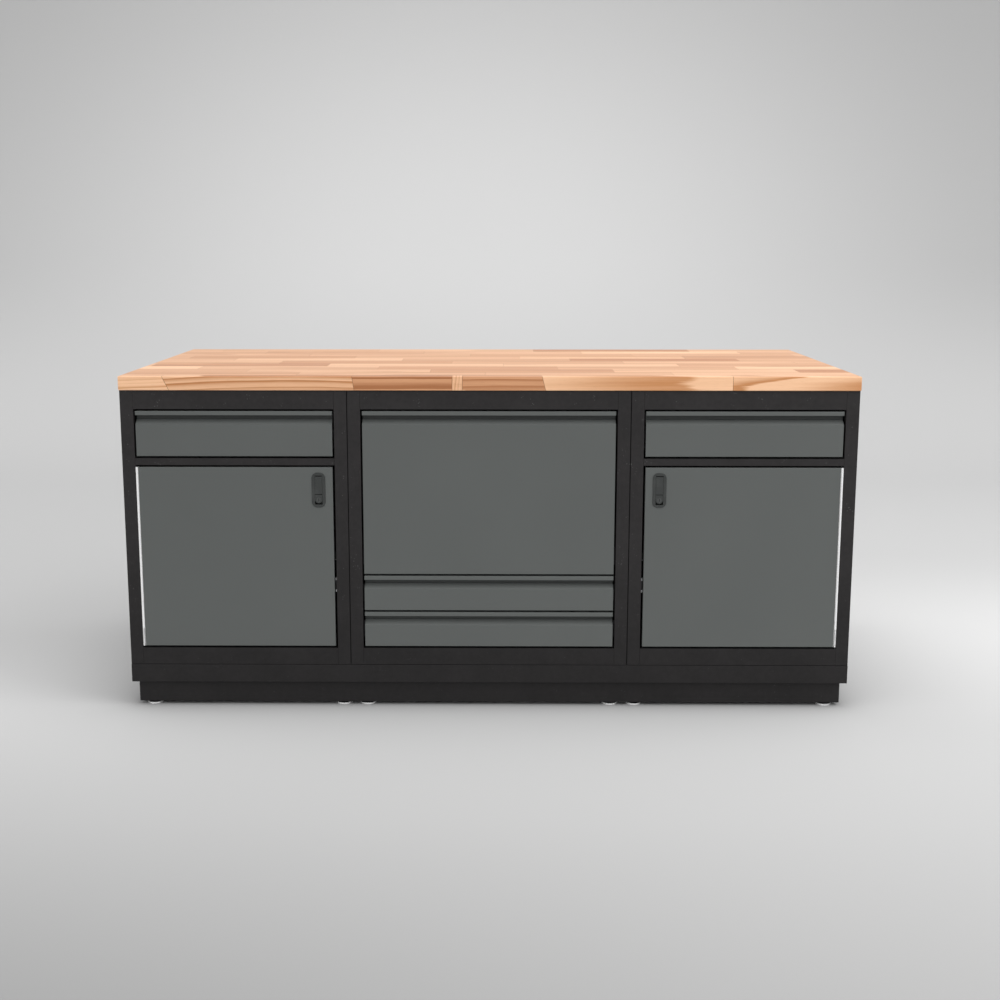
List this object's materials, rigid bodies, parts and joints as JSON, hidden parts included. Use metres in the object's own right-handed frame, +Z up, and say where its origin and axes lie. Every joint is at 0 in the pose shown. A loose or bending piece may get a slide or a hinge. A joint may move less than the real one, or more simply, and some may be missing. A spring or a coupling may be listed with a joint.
{
  "type": "garage island cabinet",
  "caption": "Long free-standing garage island: welded steel cabinets with lip-pull drawers and hinged doors on a recessed base, under a solid wood worktop.",
  "frame": {"origin": "on the floor under the middle of the island", "axes": "+X along the island to the right seen from the front, +Y from the drawer fronts to the back, +Z up"},
  "size_m": [1.9832, 0.9254, 0.92],
  "materials": {
    "worktop_wood": "oiled staves",
    "frame_black": "fine-textured black powder coat",
    "front_grey": "satin grey powder coat",
    "hinge_steel": "bright stainless",
    "zinc": "bright zinc plate",
    "slide_black": "black plate",
    "lock_steel": "dark plate",
    "latch_grey": "matt dark grey on die-cast metal",
    "catch_plastic": "moulded"
  },
  "bodies": {
    "island": {"worktop": "worktop_wood", "worktop_screws": "zinc", "left_cabinet_outer_side": "frame_black", "left_cabinet_inner_side": "frame_black", "centre_cabinet_left_side": "frame_black", "centre_cabinet_right_side": "frame_black", "right_cabinet_inner_side": "frame_black", "right_cabinet_outer_side": "frame_black", "cabinet_floors": "frame_black", "cabinet_backs": "frame_black", "front_top_rails": "frame_black", "rear_top_rails": "frame_black", "mid_rails": "frame_black", "base_front_skirt": "frame_black", "base_rear_skirt": "frame_black", "base_end_skirts": "frame_black", "toe_kicks": "frame_black", "foot_plates": "zinc", "levelling_feet": "zinc", "foot_lock_nuts": "zinc", "joining_bolts": "zinc", "slide_posts": "frame_black", "shelves": "front_grey", "shelf_clips": "zinc", "slide_cabinet_rails": "slide_black", "hinge_frame_leaves": "hinge_steel", "hinge_pins": "hinge_steel", "door_catches": "catch_plastic"},
    "left_drawer": {"left_drawer_front": "front_grey", "left_drawer_box": "front_grey", "left_drawer_slide_runners": "slide_black"},
    "left_drawer_intermediates": {"left_drawer_slide_intermediates": "slide_black"},
    "right_drawer": {"right_drawer_front": "front_grey", "right_drawer_box": "front_grey", "right_drawer_slide_runners": "slide_black"},
    "right_drawer_intermediates": {"right_drawer_slide_intermediates": "slide_black"},
    "deep_drawer": {"deep_drawer_front": "front_grey", "deep_drawer_box": "front_grey", "deep_drawer_slide_runners": "slide_black"},
    "deep_drawer_intermediates": {"deep_drawer_slide_intermediates": "slide_black"},
    "middle_drawer": {"middle_drawer_front": "front_grey", "middle_drawer_box": "front_grey", "middle_drawer_slide_runners": "slide_black"},
    "middle_drawer_intermediates": {"middle_drawer_slide_intermediates": "slide_black"},
    "bottom_drawer": {"bottom_drawer_front": "front_grey", "bottom_drawer_box": "front_grey", "bottom_drawer_slide_runners": "slide_black"},
    "bottom_drawer_intermediates": {"bottom_drawer_slide_intermediates": "slide_black"},
    "left_door": {"left_door_shell": "front_grey", "left_door_liner": "front_grey", "left_door_hinge_leaf": "hinge_steel", "left_latch_housing": "latch_grey"},
    "left_paddle": {"left_latch_paddle": "latch_grey"},
    "left_lock": {"left_key_lock": "lock_steel"},
    "right_door": {"right_door_shell": "front_grey", "right_door_liner": "front_grey", "right_door_hinge_leaf": "hinge_steel", "right_latch_housing": "latch_grey"},
    "right_paddle": {"right_latch_paddle": "latch_grey"},
    "right_lock": {"right_key_lock": "lock_steel"}
  },
  "joints": [
    {"name": "left_drawer_slide", "type": "slide", "parent": "island", "child": "left_drawer", "axis": [0, -1, 0], "range_m": [0, 0.7]},
    {"name": "left_drawer_intermediate_slide", "type": "slide", "parent": "island", "child": "left_drawer_intermediates", "axis": [0, -1, 0], "range_m": [0, 0.35]},
    {"name": "right_drawer_slide", "type": "slide", "parent": "island", "child": "right_drawer", "axis": [0, -1, 0], "range_m": [0, 0.7]},
    {"name": "right_drawer_intermediate_slide", "type": "slide", "parent": "island", "child": "right_drawer_intermediates", "axis": [0, -1, 0], "range_m": [0, 0.35]},
    {"name": "deep_drawer_slide", "type": "slide", "parent": "island", "child": "deep_drawer", "axis": [0, -1, 0], "range_m": [0, 0.7]},
    {"name": "deep_drawer_intermediate_slide", "type": "slide", "parent": "island", "child": "deep_drawer_intermediates", "axis": [0, -1, 0], "range_m": [0, 0.35]},
    {"name": "middle_drawer_slide", "type": "slide", "parent": "island", "child": "middle_drawer", "axis": [0, -1, 0], "range_m": [0, 0.7]},
    {"name": "middle_drawer_intermediate_slide", "type": "slide", "parent": "island", "child": "middle_drawer_intermediates", "axis": [0, -1, 0], "range_m": [0, 0.35]},
    {"name": "bottom_drawer_slide", "type": "slide", "parent": "island", "child": "bottom_drawer", "axis": [0, -1, 0], "range_m": [0, 0.7]},
    {"name": "bottom_drawer_intermediate_slide", "type": "slide", "parent": "island", "child": "bottom_drawer_intermediates", "axis": [0, -1, 0], "range_m": [0, 0.35]},
    {"name": "left_door_hinge", "type": "hinge", "parent": "island", "child": "left_door", "pos_m": [-0.9518, -0.4572, 0.4234], "axis": [0, 0, -1], "range_deg": [0, 165]},
    {"name": "left_paddle_pivot", "type": "hinge", "parent": "left_door", "child": "left_paddle", "pos_m": [-0.4609, -0.4563, 0.6397], "axis": [-1, 0, 0], "range_deg": [0, 35], "stiffness_Nm_per_rad": 0.3},
    {"name": "left_lock_turn", "type": "hinge", "parent": "left_door", "child": "left_lock", "pos_m": [-0.4609, -0.4572, 0.5845], "axis": [0, -1, 0], "range_deg": [0, 90]},
    {"name": "right_door_hinge", "type": "hinge", "parent": "island", "child": "right_door", "pos_m": [0.9518, -0.4572, 0.4234], "axis": [0, 0, 1], "range_deg": [0, 165]},
    {"name": "right_paddle_pivot", "type": "hinge", "parent": "right_door", "child": "right_paddle", "pos_m": [0.4609, -0.4563, 0.6397], "axis": [-1, 0, 0], "range_deg": [0, 35], "stiffness_Nm_per_rad": 0.3},
    {"name": "right_lock_turn", "type": "hinge", "parent": "right_door", "child": "right_lock", "pos_m": [0.4609, -0.4572, 0.5845], "axis": [0, 1, 0], "range_deg": [0, 90]}
  ],
  "couplings": [
    {"joint": "left_drawer_intermediate_slide", "follows": "left_drawer_slide", "ratio": 0.5},
    {"joint": "right_drawer_intermediate_slide", "follows": "right_drawer_slide", "ratio": 0.5},
    {"joint": "deep_drawer_intermediate_slide", "follows": "deep_drawer_slide", "ratio": 0.5},
    {"joint": "middle_drawer_intermediate_slide", "follows": "middle_drawer_slide", "ratio": 0.5},
    {"joint": "bottom_drawer_intermediate_slide", "follows": "bottom_drawer_slide", "ratio": 0.5}
  ]
}
